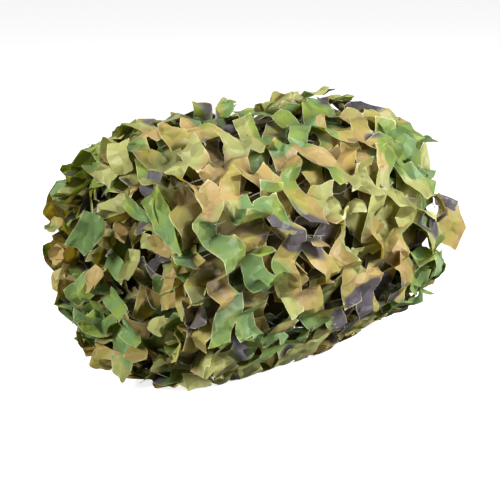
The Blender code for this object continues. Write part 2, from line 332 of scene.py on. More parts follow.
    def flattened(self, places, strength):
        """Moves the corners of every patch towards the patch's own plane."""
        count = self.patch.max() + 1
        corners = places[self.faces]
        owner = np.repeat(self.patch, 4)
        points = corners.reshape(-1, 3)
        number = np.bincount(owner, minlength=count)[:, None]
        centre = np.stack([np.bincount(owner, points[:, k], count) for k in range(3)], axis=1) / number
        off = points - centre[owner]
        spread = np.empty((count, 3, 3))
        for k in range(3):
            for m in range(3):
                spread[:, k, m] = np.bincount(owner, off[:, k] * off[:, m], count)
        normal = np.linalg.eigh(spread)[1][:, :, 0]
        move = -(off * normal[owner]).sum(axis=1)[:, None] * normal[owner]
        vertex = self.faces.ravel()
        shares = np.bincount(vertex, minlength=len(places))[:, None]
        total = np.stack([np.bincount(vertex, move[:, k], len(places)) for k in range(3)], axis=1)
        places += strength * total / shares

    def springs(self):
        """Links across the faces' sides and diagonals and over two and four cells, and the cut edges."""
        faces, flat = self.faces, self.flat
        sides, counts = np.unique(np.sort(sides_of(faces), axis=1), axis=0, return_counts=True)
        braces = np.concatenate([faces[:, [0, 2]], faces[:, [1, 3]]])
        spans = []
        first, second = sides[:, 0], sides[:, 1]
        for place in (self.line, self.row):
            ahead = np.abs(place[second] - place[first]) > 0.5
            rising = place[second] > place[first]
            start = np.where(rising, first, second)[ahead]
            stop = np.where(rising, second, first)[ahead]
            following = -np.ones(len(flat) + 1, int)
            following[start] = stop
            twice = following[following]
            for ahead_of in (twice, twice[twice]):
                at = np.nonzero(ahead_of[:-1] >= 0)[0]
                spans.append(np.stack([at, ahead_of[at]], axis=1))
        near_spans = np.concatenate([spans[0], spans[2]])
        far_spans = np.concatenate([spans[1], spans[3]])
        self.links = []
        for pairs, pull, push, soften in (
            (sides, 1.0, 1.0, 1.0),
            (braces, 0.5, 0.5, 1.0),
            (near_spans, 0.0, 0.35, 0.06),
            (far_spans, 0.0, 0.20, 0.10),
        ):
            rest = np.linalg.norm(flat[pairs[:, 0]] - flat[pairs[:, 1]], axis=1)
            for group in coloured(pairs, len(flat)):
                self.links.append((pairs[group, 0], pairs[group, 1], rest[group], pull, push, soften))
        self.edge = np.zeros(len(flat))
        self.edge[np.unique(sides[counts == 1])] = 1.0


def crumpled(cloth, places, height, size, seed):
    """Creases the cloth as stiff coated cloth creases: flat facets at angles to one another."""
    corners = places[cloth.faces]
    normal = np.cross(corners[:, 2] - corners[:, 0], corners[:, 3] - corners[:, 1])
    total = np.zeros_like(places)
    for k in range(4):
        for axis in range(3):
            total[:, axis] += np.bincount(cloth.faces[:, k], normal[:, axis], len(places))
    total /= np.maximum(np.linalg.norm(total, axis=1), 1e-9)[:, None]
    places = places + total * (height * ripple(cloth.flat, size, seed))[:, None]
    for _ in range(4):
        cloth.flattened(places, 0.8)
    return places


def coloured(pairs, count):
    """Splits pairs of vertices into groups in which no vertex comes twice."""
    used = [0] * count
    groups = []
    for index, (a, b) in enumerate(pairs.tolist()):
        taken = used[a] | used[b]
        colour = (~taken & (taken + 1)).bit_length() - 1
        used[a] |= 1 << colour
        used[b] |= 1 << colour
        while colour >= len(groups):
            groups.append([])
        groups[colour].append(index)
    return [np.array(group) for group in groups]


def pushed_apart(places, flat, distance, near, strength=0.5):
    """Moves vertices apart that are closer than a distance but not neighbours in the cloth."""
    low = places.min(axis=0) - distance
    cells = ((places - low) / distance).astype(np.int64)
    size = cells.max(axis=0) + 3
    key = (cells[:, 0] * size[1] + cells[:, 1]) * size[2] + cells[:, 2]
    order = np.argsort(key, kind="stable")
    sorted_key = key[order]
    move = np.zeros_like(places)
    hits = np.zeros(len(places))
    # The cell itself and half of the 26 around it, so that each pair comes once
    around = np.array(list(np.ndindex(3, 3, 3)))[13:] - 1
    index = np.arange(len(places))
    for dx, dy, dz in around.tolist():
        offset = (dx * size[1] + dy) * size[2] + dz
        start = np.searchsorted(sorted_key, key + offset, side="left")
        stop = np.searchsorted(sorted_key, key + offset, side="right")
        for step in range(8):
            at = start + step
            ok = at < stop
            if not ok.any():
                break
            a = index[ok]
            b = order[at[ok]]
            if offset == 0:
                half = a < b
                a, b = a[half], b[half]
            gap = places[a] - places[b]
            far = np.linalg.norm(gap, axis=1)
            apart = np.abs(flat[a] - flat[b]).max(axis=1)
            close = (far < distance) & (apart > near) & (far > 1e-7)
            a, b, gap, far = a[close], b[close], gap[close], far[close]
            push = gap * (strength * (distance - far) / far)[:, None] * 0.5
            for axis in range(3):
                move[:, axis] += np.bincount(a, push[:, axis], len(places))
                move[:, axis] -= np.bincount(b, push[:, axis], len(places))
            hits += np.bincount(a, minlength=len(places)) + np.bincount(b, minlength=len(places))
    places += move / np.maximum(hits, 1)[:, None] ** 0.5


def relaxed(cloth, places, rounds, hold, target, limits, distance=0.0042, drop=0.000025):
    """Lets a cloth find its shape: springs, soft holds at the junctions, its own thickness."""
    places = places.copy()
    for count in range(rounds):
        places[:, 2] -= drop
        for a, b, rest, pull, push, soften in cloth.links:
            gap = places[a] - places[b]
            far = np.sqrt((gap * gap).sum(axis=1))
            stretch = far - rest
            # A bend that has gone far enough gives way to a crease
            bend = np.where(stretch > -soften * rest, push, CREASE_GIVE * push)
            give = np.where(stretch > 0, pull, bend)
            force = give * 0.5 * stretch / np.maximum(far, 1e-9)
            gap *= force[:, None]
            places[a] -= gap
            places[b] += gap
        places += (target - places) * hold[:, None]
        if count % APART_EVERY == APART_EVERY - 1:
            pushed_apart(places, cloth.flat, distance, NEIGHBOUR_CELLS * CELL)
        if count % FLATTEN_EVERY == 0 and count > rounds // 2:
            cloth.flattened(places, 0.6)
        limits(places)
    return places


# The near end's bowl, and how fast daylight fades inwards from the skin and the ends
BOWL_DEPTH = 0.022
BOWL_SHARE = 0.75
SKIN_LIGHT = (0.024, 0.020)
END_LIGHT = 0.030
# The shaded channel in front: its middle and reach in degrees, its inner wall, and how dark it is
CHANNEL_SHADE = (176, 48)
CHANNEL_INNER_WALL = (0.74, 0.06)
CHANNEL_DARK = 0.95
# And the shade on the second turn beside it: where, below what depth, past what place along
SECOND_SHADE = (164, 38)
SECOND_SHADE_DEPTH = (0.007, 0.005)
SECOND_SHADE_ALONG = (-0.130, 0.02)
SECOND_DARK = 0.9


def nearness(angle, degrees, reach):
    """1 at some degrees round the roll, falling to 0 away from there."""
    off = np.mod(np.degrees(angle) - degrees + 180, 360) - 180
    return np.exp(-((off / reach) ** 2))


def end_depth(share):
    """How far the near end's face lies inside its rim: a shallow bowl."""
    return BOWL_DEPTH * np.clip(1 - (share / BOWL_SHARE) ** 2, 0, 1)


def exposure(places):
    """How far daylight reaches places, for the shade painted into the cloth's colour: 1 on the outside of
    the roll and its ends, 0 deep inside it.
    """
    height, around, share = height_on_roll(places)
    near = -ROLL_LENGTH / 2 + end_depth(share) - places[:, 0]
    outside = np.clip((height + SKIN_LIGHT[0]) / SKIN_LIGHT[1], 0, 1)
    at_ends = np.clip(1 + np.maximum(near, places[:, 0] - ROLL_LENGTH / 2) / END_LIGHT, 0, 1)
    # Painted shade in the channel between the outer turn and the inner ones, in front at the near end
    past_wall = share / section_scale(places[:, 0]) - CHANNEL_INNER_WALL[0]
    channel = nearness(around, *CHANNEL_SHADE) * np.clip(past_wall / CHANNEL_INNER_WALL[1], 0, 1)
    at_ends = at_ends * np.where(places[:, 0] < 0, 1 - CHANNEL_DARK * channel, 1)
    # And painted shade on the second turn beside the channel
    below = np.clip((-SECOND_SHADE_DEPTH[0] - height) / SECOND_SHADE_DEPTH[1], 0, 1)
    inner = nearness(around, *SECOND_SHADE) * below
    towards_end = np.clip((SECOND_SHADE_ALONG[0] - places[:, 0]) / SECOND_SHADE_ALONG[1], 0, 1)
    outside = outside * (1 - SECOND_DARK * inner * towards_end)
    return np.maximum(outside, at_ends)


def cloth_mesh(name, cloth, places, chosen, levels):
    """A mesh object of some of a cloth's faces, with its flat places as UV and its cut edges marked."""
    faces = cloth.faces[chosen]
    used, numbers = np.unique(faces, return_inverse=True)
    numbers = numbers.reshape(faces.shape)
    mesh = bpy.data.meshes.new(name)
    mesh.from_pydata((places[used] + np.array(MIDDLE)).tolist(), [], numbers.tolist())
    uv = mesh.uv_layers.new(name="flat")
    uv.data.foreach_set("uv", cloth.flat[used][numbers.ravel()].astype(np.float32).ravel())
    edge = mesh.attributes.new("cut_edge", "FLOAT", "POINT")
    edge.data.foreach_set("value", cloth.edge[used].astype(np.float32))
    bias = mesh.attributes.new("print_bias", "FLOAT_VECTOR", "POINT")
    bias.data.foreach_set("vector", print_bias(places[used]).astype(np.float32).ravel())
    # How far daylight reaches each vertex, which the cloth material paints as shade
    light_reach_for_painted_shade = mesh.attributes.new("light_reach_for_painted_shade", "FLOAT", "POINT")
    light_reach_for_painted_shade.data.foreach_set("value", exposure(places[used]).astype(np.float32))
    side = np.empty(len(mesh.loops), int)
    mesh.loops.foreach_get("edge_index", side)
    patch = np.repeat(cloth.patch[chosen], 4)
    low, high = np.full(len(mesh.edges), 10**9), np.full(len(mesh.edges), -1)
    np.minimum.at(low, side, patch)
    np.maximum.at(high, side, patch)
    crease = mesh.attributes.new("crease_edge", "FLOAT", "EDGE")
    crease.data.foreach_set("value", np.where(low != high, CREASE, 0.0).astype(np.float32))
    corner = mesh.attributes.new("crease_vert", "FLOAT", "POINT")
    lone = np.bincount(numbers.ravel(), minlength=len(used)) == 1
    sharp = lone & (np.random.default_rng(len(used)).random(len(used)) < 0.85)
    corner.data.foreach_set("value", sharp.astype(np.float32))
    mesh.shade_smooth()
    fold = mesh.attributes.new("sharp_edge", "BOOLEAN", "EDGE")
    fold.data.foreach_set("value", low != high)
    obj = added(name, mesh)
    if levels:
        obj.modifiers.new("smooth", "SUBSURF").levels = levels
        obj.modifiers["smooth"].render_levels = levels
    return obj


def wave_flat(corner_i, corner_j):
    """Flat places of the cells' corners: the strips run in slow S-curves."""
    u = corner_i * CELL + WAVE * np.arcsin(0.96 * np.sin(corner_j * math.tau / PERIOD)) / 1.2
    return np.stack([u, corner_j * CELL], axis=-1)


# The outer turns, one length of cloth wound inwards from a loose end under the roll
CHANNEL_WIDTH = 0.013
OUTER_STRIPS = 9
OUTER_TURNS = 3.0
OUTER_NEAR = -0.180
FRONT_RECESS = (0.017, 0.002)  # how far the first turn and the others stand back in front
OUTER_FAR = (0.170, -0.003)
END_TIGHTNESS = 0.22  # how much less the outer turns are pulled open at their ends
OUTER_START_DEG = 312
OUTER_ADVANCE = 0.76
TURN_DROP = 0.010
SETTLE_ROUNDS = 220
LEVELS = 1  # of subdivision
# Where the outer turns stand off the skin or are drawn in: along, degrees round it, how far that
# reaches along and round, and height
BULGES = (
    (-0.100, 70, 0.035, 26, 0.013),
    (-0.005, 78, 0.035, 20, -0.009),
    (0.075, 82, 0.065, 25, -0.009),
    (0.165, 115, 0.03, 22, 0.012),
    (-0.07, 244, 0.12, 14, 0.008),  # sagging on the floor in front
    (-0.16, 320, 0.05, 40, -0.005),
    (-0.150, 60, 0.032, 18, -0.011),
    (0.130, 236, 0.060, 22, -0.006),
    (0.040, 246, 0.050, 14, 0.005),
)
# And how far their edges stand out past it or back: side, degrees round it, how far round, distance
EDGE_WAVES = (
    (-1, 308, 34, -0.006),
    (-1, 12, 32, -0.012),
    (-1, 355, 12, -0.003),
    (-1, 264, 26, -0.022),
    (-1, 80, 15, -0.008),
    (-1, 38, 14, 0.008),
    (1, 112, 18, 0.006),
    (1, 148, 22, -0.016),
    (1, 192, 12, -0.010),
)


def bulge(x, angle):
    total = np.zeros_like(x)
    for along, degrees, wide, reach, height in BULGES:
        total += height * nearness(angle, degrees, reach) * np.exp(-(((x - along) / wide) ** 2))
    return total


def edge_wave(side, angle):
    return sum(far * nearness(angle, degrees, reach) for at, degrees, reach, far in EDGE_WAVES if at == side)


def outer_turns():
    across = OUTER_STRIPS * STRIP
    angles = [math.radians(OUTER_START_DEG)]
    ends = []
    while angles[-1] < angles[0] + math.tau * OUTER_TURNS:
        turns = (angles[-1] - angles[0]) / math.tau
        if turns >= 1 and not ends:
            ends.append(len(angles) - 1)
        radius = (HALF_WIDTH + HALF_HEIGHT) / 2 * 1.02 - TURN_DROP * turns
        angles.append(angles[-1] + CELL * OUTER_ADVANCE / radius)
    angles = np.array(angles)
    along = len(angles) - 1
    cloth = Cloth(across, along, seed=3)
    turn_of = (angles - angles[0]) / math.tau
    degrees = np.degrees(angles) % 360
    smooth = np.nonzero((turn_of > 1) & (turn_of < 2) & (degrees > 135) & (degrees < 225))[0]
    whole = [(smooth.min(), smooth.max(), 2 * STRIP)]
    cloth.slits(STRIP, across - STRIP, side_share=0.7, cross_share=0.4, whole=whole)
    cloth.build(wave_flat)
    row = cloth.row + cloth.back / CELL
    angle = np.interp(row, np.arange(len(angles)), angles)
    turn = (angle - angles[0]) / math.tau
    front = np.clip((-np.cos(angle) + 0.2) / 1.0, 0, 1)
    near = OUTER_NEAR + front * np.where(turn < 1.15, *FRONT_RECESS) - edge_wave(-1, angle)
    far = OUTER_FAR[0] + OUTER_FAR[1] * turn + edge_wave(1, angle)
    share = cloth.line / across
    x = near + (far - near) * (share - END_TIGHTNESS * np.sin(math.tau * share) / math.tau)
    sheet_place = np.stack([x, cloth.row * CELL], axis=-1)
    x = x + 0.005 * ripple(sheet_place, 0.06, seed=21)
    angle = angle + 0.005 / 0.137 * ripple(sheet_place, 0.06, seed=22)
    height = 0.004 - TURN_DROP * turn + lump(x, angle) + bulge(x, angle)
    # In front the second turn lies well inside the first one's edge
    loose = np.clip((-0.10 - x) / 0.05, 0, 1) * np.clip((-np.cos(angle) - 0.1) / 0.6, 0, 1)
    height = height - CHANNEL_WIDTH * loose * np.clip(turn / 0.9, 0, 1) ** 3
    height = height + 0.0045 * ripple(sheet_place, 0.045, seed=23)
    target = on_roll(x, angle, height)
    start = on_roll(x, angle, height + 0.0025 * ripple(sheet_place, 0.02, seed=24) + cloth.rise)
    line, at = np.round(cloth.line).astype(int), np.round(cloth.row).astype(int)
    border = np.clip(np.round(line / STRIP).astype(int) * STRIP, STRIP, across - STRIP)
    before = cloth.cut_along[border, np.clip(at - 1, 0, along - 1)]
    after = cloth.cut_along[border, np.clip(at, 0, along - 1)]
    hold = np.where((abs(line - border) <= 1) & ~before & ~after, 0.04, 0.0)
    # The part with no slits is held out at the near end
    hold[(line <= 1) & (at > smooth.min()) & (at < smooth.max())] = 0.15

    def limits(places):
        np.maximum(places[:, 2], FLOOR_CLEARANCE, out=places[:, 2])
        height, around, share = height_on_roll(places)
        highest = 0.001 + 0.017 * np.clip((places[:, 2] - 0.03) / 0.08, 0, 1)
        raised = bulge(places[:, 0], around)
        highest = highest + np.where(raised > 0, raised, 1.6 * raised)
        wrong = np.clip(height, -0.050, highest) - height
        places[:, 1] += wrong * np.cos(around)
        places[:, 2] += wrong * np.sin(around)

    places = relaxed(cloth, start, SETTLE_ROUNDS, hold, target, limits)
    places = crumpled(cloth, places, 0.0016, 0.028, seed=31)
    limits(places)
    face_row = cloth.row[cloth.faces].mean(axis=1)
    outside = face_row < ends[0]
    width = across * CELL
    return [
        (cloth_mesh("outer_turn", cloth, places, outside, LEVELS), (width, ends[0] * CELL)),
        (cloth_mesh("second_turns", cloth, places, ~outside, LEVELS), (width, (along - ends[0]) * CELL)),
    ]


def end_turns(name, side, strips, turns, first_radius, pitch, gather, seed):
    """The edges of the inner turns at one end of the roll, cut into tongues that flop over."""
    across = strips * STRIP
    last_radius = first_radius + turns * pitch
    length = math.pi * (last_radius**2 - first_radius**2) / pitch
    along = int(length * gather / CELL)
    cloth = Cloth(across, along, seed)
    cloth.slits(STRIP, across - STRIP, side_share=0.6, cross_share=0.1)
    cloth.tongues(TONGUE_WIDTHS, TONGUE_DEPTHS)
    tongue = cloth.tongue
    starts, widths = np.array(cloth.tongue_start), np.array(cloth.tongue_width)
    shapes = np.array(cloth.tongue_shape)

    def flat_of(corner_i, corner_j):
        flat = wave_flat(corner_i, corner_j)
        t = tongue[corner_j[:, :1]]
        down = np.clip((corner_i - (across - 6)) / 6, 0, 1)
        middle = starts[t] + widths[t] / 2
        narrow = 1 - shapes[t] * down**1.3
        flat[..., 1] = (middle + (corner_j - middle) * np.where(down > 0, narrow, 1)) * CELL
        return flat

    cloth.build(flat_of)
    s = np.clip(cloth.row * CELL / gather, 0, length)
    radius = np.sqrt(first_radius**2 + pitch * s / math.pi)
    angle = math.tau * (radius - first_radius) / pitch + seed
    place = np.stack([s, np.zeros_like(s)], axis=-1)
    phase = s * math.tau / 0.031 + 1.5 * ripple(place, 0.12, seed + 1)
    fade = np.clip(radius / last_radius, 0, 1)
    radius = radius + 0.0055 * np.sin(phase) * np.where(fade > 0.93, 0.5, 1.0)
    share = radius / HALF_WIDTH
    depth = end_depth(share) if side < 0 else 0.0
    edge = ROLL_LENGTH / 2 - depth + 0.008 * ripple(place, 0.07, seed + 2) + 0.010
    if side < 0:
        edge = edge + 0.010 * np.clip(np.cos(angle), 0, 1)
    base = edge - across * CELL * 1.2
    down = cloth.line * CELL * 1.2
    tongue_of = tongue[np.clip(np.round(cloth.row).astype(int), 0, along - 1)]
    rng = np.random.default_rng(seed + 5)
    first_fold = rng.uniform(-1.9, 1.9, len(starts))[tongue_of]
    fold_line = (across - 6) * CELL * 1.2
    over = np.maximum(down - fold_line, 0) / 1.2
    out = np.minimum(down, fold_line) + over * np.cos(first_fold)
    away = over * np.sin(first_fold)
    lean = 0.006 * ripple(place, 0.05, seed + 3) * np.clip(down / 0.08, 0, 1) ** 2
    squash = HALF_HEIGHT / HALF_WIDTH
    centre = HALF_HEIGHT * section_scale(side * 0.16) - FLOOR_SAG

    def placed(r, x):
        # Nearer the skin at the back and the top than at the front, where the channel is
        front = np.clip((-np.cos(angle) - 0.1) / 0.7, 0, 1)
        wide = r * (1.0 + (0.13 * np.clip(np.cos(angle - 0.9), 0, 1) - 0.03 * front) * (side < 0))
        return np.stack([side * x, wide * np.cos(angle), centre + wide * np.sin(angle) * squash], axis=-1)

    target = placed(radius + lean, base + down)
    crinkle = 0.001 * ripple(np.stack([s, down], axis=-1), 0.016, seed + 4)
    start = placed(radius + lean + away + crinkle, base + out)
    hold = np.zeros(len(s))
    line = np.round(cloth.line).astype(int)
    hold[line <= 1] = 0.4
    hold[line == STRIP] = 0.03
    hold[line == 2 * STRIP] = 0.006

    def limits(places):
        np.maximum(places[:, 2], FLOOR_CLEARANCE, out=places[:, 2])

    places = relaxed(cloth, start, SETTLE_ROUNDS, hold, target, limits)
    places = crumpled(cloth, places, 0.0020, 0.026, seed + 6)
    limits(places)
    obj = cloth_mesh(name, cloth, places, slice(None), LEVELS)
    return [(obj, (across * CELL, along * CELL))]


LEAF_COLUMNS = ("along", "around", "heading", "length", "width", "lift", "twist", "tip", "colour")
LOOSE_LEAVES = (
    (0.162, 167, 36, 0.050, 0.052, 4, 0, "square", "tan"),  # the net's loose corner, past the far end
    (0.158, 160, 30, 0.026, 0.014, 6, 0, "square", "grey"),
    (0.158, 191, 80, 0.034, 0.026, 2, 0, "square", "green"),
    (0.142, 122, 66, 0.050, 0.018, 16, 10, "point", "green"),
    (0.156, 147, 276, 0.036, 0.018, 8, 10, "point", "olive"),
    (0.134, 114, 10, 0.030, 0.026, 0, -6, "point", "olive"),
    (0.118, 92, 80, 0.024, 0.024, 4, 0, "point", "green"),
    (0.092, 86, 90, 0.022, 0.026, 4, 8, "square", "olive"),
    (0.050, 80, 60, 0.024, 0.026, 4, 8, "square", "olive"),
    (0.120, 84, 110, 0.020, 0.018, 14, 8, "point", "grey"),
    (-0.020, 78, 60, 0.022, 0.022, 4, -8, "point", "olive"),
    (-0.075, 76, 110, 0.024, 0.024, 8, 8, "point", "green"),
    (-0.112, 68, 100, 0.026, 0.028, 8, 8, "square", "green"),
    (-0.124, 66, 110, 0.022, 0.026, 2, 0, "square", "green"),
    (-0.140, 44, 190, 0.022, 0.028, 10, 0, "point", "green"),
    (-0.140, 306, 185, 0.034, 0.030, 4, 0, "square", "tan"),  # these two lie on the floor beside the mouth
    (-0.132, 277, 200, 0.030, 0.032, 4, 0, "point", "olive"),
)


def view():
    """The camera's place, and its directions to the right, up and back."""
    turn, rise = math.radians(VIEW_TURN_DEG), math.radians(VIEW_RISE_DEG)
    right = Vector((math.cos(turn), -math.sin(turn), 0))
    back = Vector(
        (-math.sin(turn) * math.cos(rise), -math.cos(turn) * math.cos(rise), math.sin(rise))
    )
    up = back.cross(right)
    aim = MIDDLE + Vector((0, 0, VIEW_HEIGHT)) + right * VIEW_RIGHT + up * VIEW_UP
    return aim + back * VIEW_DISTANCE, right, up, back


def in_mouth(share, degrees, out):
    """A place at the near end, by its share of the section, its angle and how far out it is."""
    scale, around = float(section_scale(-ROLL_LENGTH / 2)), math.radians(degrees)
    y = HALF_WIDTH * scale * share * math.cos(around)
    z = HALF_HEIGHT * scale * (1 + share * math.sin(around)) - FLOOR_SAG
    return np.array([-ROLL_LENGTH / 2 - out, y, z])


def seen(across, down, out, sunk=0.0):
    """What in_mouth takes for the place under a pixel of the view, at a distance out of the near end.

    The share is to the hundredth and the angle to the degree. The place may then be sunk straight in.
    """
    place, right, up, back = view()
    start, middle = place - MIDDLE, VIEW_SIZE / 2
    sight = right * ((across - middle) / VIEW_FOCUS) - up * ((down - middle) / VIEW_FOCUS) - back
    hit = start + sight * ((-ROLL_LENGTH / 2 - out - start.x) / sight.x)
    scale = float(section_scale(-ROLL_LENGTH / 2))
    y = hit.y / (HALF_WIDTH * scale)
    z = (hit.z + FLOOR_SAG) / (HALF_HEIGHT * scale) - 1
    return round(math.hypot(y, z), 2), round(math.degrees(math.atan2(z, y)) % 360), round(out - sunk, 3)


# Leaves in the mouth, each from its root to its tip. A place is its share of the section, degrees
# round it and how far out of the near end, or is worked out from where it is seen.
MOUTH_COLUMNS = ("root", "tip", "width", "shape", "colour")
MOUTH_LEAVES = (
    ((0.48, 56, 0.008), (0.36, 14, 0.014), 0.032, "square", "green"),  # the broad one
    ((0.60, 92, 0.004), (0.48, 64, 0.006), 0.018, "square", "pale"),
    (seen(150, 193, 0.008), seen(187, 255, 0.006), 0.026, "point", "green"),  # the long ribbon
    (seen(150, 172, 0.006), seen(143, 214, 0.012), 0.018, "point", "grey"),
    (seen(122, 199, 0.010), seen(153, 228, 0.010), 0.014, "point", "green"),
    (seen(120, 224, 0.000), (0.24, 65, 0.006), 0.016, "square", "tan"),
    (seen(172, 250, 0.004), seen(149, 237, 0.012), 0.018, "point", "tan"),
    (seen(134, 240, 0.004, 0.002), (0.52, 145, 0.004), 0.014, "square", "olive"),
    (seen(132, 250, 0.004, 0.002), seen(127, 284, 0.012, 0.004), 0.015, "square", "pale"),
    (seen(100, 257, 0.004, 0.002), (0.06, 229, 0.006), 0.020, "square", "green"),
    (seen(97, 270, 0.004, 0.002), (0.52, 327, 0.010), 0.020, "point", "tan"),
    (seen(84, 286, 0.006, 0.002), (0.75, 329, 0.010), 0.024, "square", "green"),
    (seen(106, 293, 0.006), seen(130, 318, 0.012), 0.018, "square", "green"),
    (seen(190, 252, 0.006, 0.002), (0.64, 168, 0.010), 0.020, "point", "tan"),  # beside the channel
    (seen(170, 270, 0.002), seen(172, 298, 0.012), 0.016, "square", "tan"),
    (seen(176, 298, 0.002), seen(151, 306, 0.010), 0.014, "square", "tan"),
    (seen(180, 286, 0.000), seen(184, 322, 0.010), 0.014, "point", "olive"),
    ((0.74, 176, 0.000), (0.86, 187, 0.010), 0.018, "round", "tan"),
    (seen(192, 312, 0.000), seen(206, 322, 0.006), 0.024, "round", "grey"),
    (seen(186, 326, 0.004), seen(202, 342, 0.008), 0.030, "square", "tan"),
    (seen(176, 342, 0.004), seen(188, 362, 0.010), 0.028, "point", "olive"),
    ((0.41, 224, 0.004), (0.60, 221, 0.012), 0.020, "point", "pale"),
    (seen(120, 326, 0.004), (0.55, 246, 0.010), 0.020, "square", "green"),
    (seen(104, 334, 0.006), seen(128, 352, 0.012), 0.026, "square", "green"),
    (seen(144, 350, 0.006), seen(126, 358, 0.014), 0.018, "point", "tan"),
    ((0.80, 295, 0.004), (1.08, 293, 0.012), 0.032, "square", "tan"),
    ((0.68, 270, 0.006), (0.93, 262, 0.010), 0.032, "point", "olive"),
    (seen(98, 318, 0.004), seen(112, 332, 0.010, 0.002), 0.018, "square", "green"),
    (seen(62, 250, 0.002), seen(54, 262, 0.008), 0.022, "round", "tan"),
    ((0.88, 342, 0.002), (1.03, 338, 0.008), 0.024, "round", "tan"),
    (seen(110, 168, 0.006), seen(104, 184, 0.010), 0.024, "square", "pale"),
    (seen(92, 176, 0.006), seen(88, 190, 0.012), 0.022, "point", "green"),
    ((1.04, 88, 0.002), (0.80, 94, 0.008), 0.026, "square", "olive"),
    ((0.98, 38, 0.004), (0.86, 30, 0.014), 0.024, "square", "green"),
    ((0.90, 16, 0.000), (0.88, 6, 0.006), 0.020, "round", "olive"),
)
# The ways that they face, in turn
MOUTH_FACINGS = ((-1.0, -0.5, 0.4), (-1.0, -0.1, 0.2), (-1.0, -0.4, 0.0))
TIP_SHARPNESS = {"round": 0.6, "square": 0.16, "point": 1.0}
LEAF_CELLS = (12, 8)
LEAF_PULL = 0.35


def leaf_frames():
    """Where each leaf starts, its directions, its sizes and its colour."""
    for row in LOOSE_LEAVES:
        spec = dict(zip(LEAF_COLUMNS, row))
        around, heading = math.radians(spec["around"]), math.radians(spec["heading"])
        start = on_roll(spec["along"], around, float(lump(spec["along"], around)) - 0.002)
        normal = np.array([0.0, math.cos(around), math.sin(around)])
        forward = np.array(
            [
                math.cos(heading),
                -math.sin(around) * math.sin(heading),
                math.cos(around) * math.sin(heading),
            ]
        )
        yield spec, start, forward, normal, math.sin(heading), math.cos(heading)
    for count, row in enumerate(MOUTH_LEAVES):
        spec = dict(zip(MOUTH_COLUMNS, row))
        ends = [in_mouth(*spec["root"]), in_mouth(*spec["tip"])]
        forward = ends[1] - ends[0]
        length = float(np.linalg.norm(forward))
        spec |= {"length": length, "lift": 0, "twist": 0, "tip": spec["shape"]}
        forward /= length
        normal = np.array(MOUTH_FACINGS[count % len(MOUTH_FACINGS)])
        normal -= forward * float(normal @ forward)
        yield spec, ends[0], forward, normal / np.linalg.norm(normal), 0.0, 0.0


def loose_leaves():
    """The net's loose corners and torn leaves, each rooted in the roll and folded once across."""
    rng = np.random.default_rng(17)
    places, faces, flat, edge, lean = [], [], [], [], []
    area = total = 0.0
    cells, wide = LEAF_CELLS
    for count, (spec, start, forward, normal, round_ahead, round_aside) in enumerate(leaf_frames()):
        sideways = np.cross(normal, forward)
        first = len(places)
        crease, kink = rng.uniform(0.35, 0.65), rng.uniform(-0.5, 0.7) * (1 if round_ahead else 1.5)
        ridge = rng.uniform(-0.5, 0.5)
        slope, twist = math.tan(math.radians(spec["lift"])), math.tan(math.radians(spec["twist"]))
        sharp = TIP_SHARPNESS[spec["tip"]]
        for i in range(cells + 1):
            u = i / cells
            narrow = 1 - 0.85 * sharp * max(0.0, u - 0.5) / 0.5
            if spec["tip"] == "round":
                narrow = math.sqrt(max(0.05, 1 - max(0.0, (u - 0.55) / 0.48) ** 2))
            over = max(0.0, u - crease)
            reach = spec["length"] * (min(u, crease) + over * math.cos(kink))
            bent = spec["length"] * over * math.sin(kink)
            for k in range(wide + 1):
                w = 2 * k / wide - 1
                side = 0.5 * spec["width"] * w * narrow
                # Folded along a ridge that isn't quite in the middle
                steep, way = 0.32 if round_ahead else 0.6, 1 if count % 2 else -1
                curl = steep * abs(side - 0.5 * ridge * spec["width"] * 0.5) * way
                rise = reach * slope * (1 - 0.35 * u) - 0.006 * (1 - u) ** 2 + bent + curl
                off = reach * round_ahead + side * round_aside
                height = rise - off**2 / (2 * HALF_WIDTH) + side * twist * u
                place = start + forward * reach + sideways * side + normal * height
                place[2] = max(place[2], FLOOR_CLEARANCE + 0.002 * rng.uniform())
                places.append(place)
                flat.append((count * 0.09 + side, 0.13 * count + spec["length"] * u))
                edge.append(1.0 if i == cells or k in (0, wide) else 0.0)
                lean.append(LEAN[spec["colour"]])
        for i in range(cells):
            for k in range(wide):
                a = first + i * (wide + 1) + k
                faces.append((a, a + 1, a + wide + 2, a + wide + 1))
        area += spec["length"] * spec["width"]
        total += spec["length"]
    made = Cloth(1, 1, 1)
    made.flat, made.edge, made.faces = np.array(flat), np.array(edge), np.array(faces)
    made.facets(np.zeros(len(faces), int))
    places = crumpled(made, np.array(places), 0.0012, 0.022, seed=41)
    np.maximum(places[:, 2], FLOOR_CLEARANCE, out=places[:, 2])
    obj = cloth_mesh("loose_leaves", made, places, slice(None), LEVELS)
    # The loose leaves take none of the painted shade
    obj.data.attributes["light_reach_for_painted_shade"].data.foreach_set("value", np.ones(len(obj.data.vertices), np.float32))
    bias = obj.data.attributes["print_bias"].data
    held = np.empty(len(bias) * 3, np.float32)
    bias.foreach_get("vector", held)
    bias.foreach_set("vector", 0.4 * held + LEAF_PULL * np.array(lean, np.float32).ravel())
    return [(obj, (area / total, total))]


# The cords that the cloth is tied to: along the roll under its outer turn, and slack ones in the mouth
CORD_RADIUS = 0.0004
CORD_DEGREES = range(38, 250, 21)
CORD_DEPTH = 0.015
CORD_ALONG = (-0.165, 0.160)
CORD_POINTS = 60
MOUTH_CORDS = (
    ((0.78, 112, 0.000), (0.60, 106, 0.006)),
    ((0.66, 84, 0.004), (0.74, 98, 0.000)),
    ((0.34, 150, 0.010), (0.58, 170, 0.008)),
    ((0.30, 196, 0.008), (0.46, 206, 0.008)),
    ((0.66, 24, 0.002), (0.58, 8, 0.006)),
)


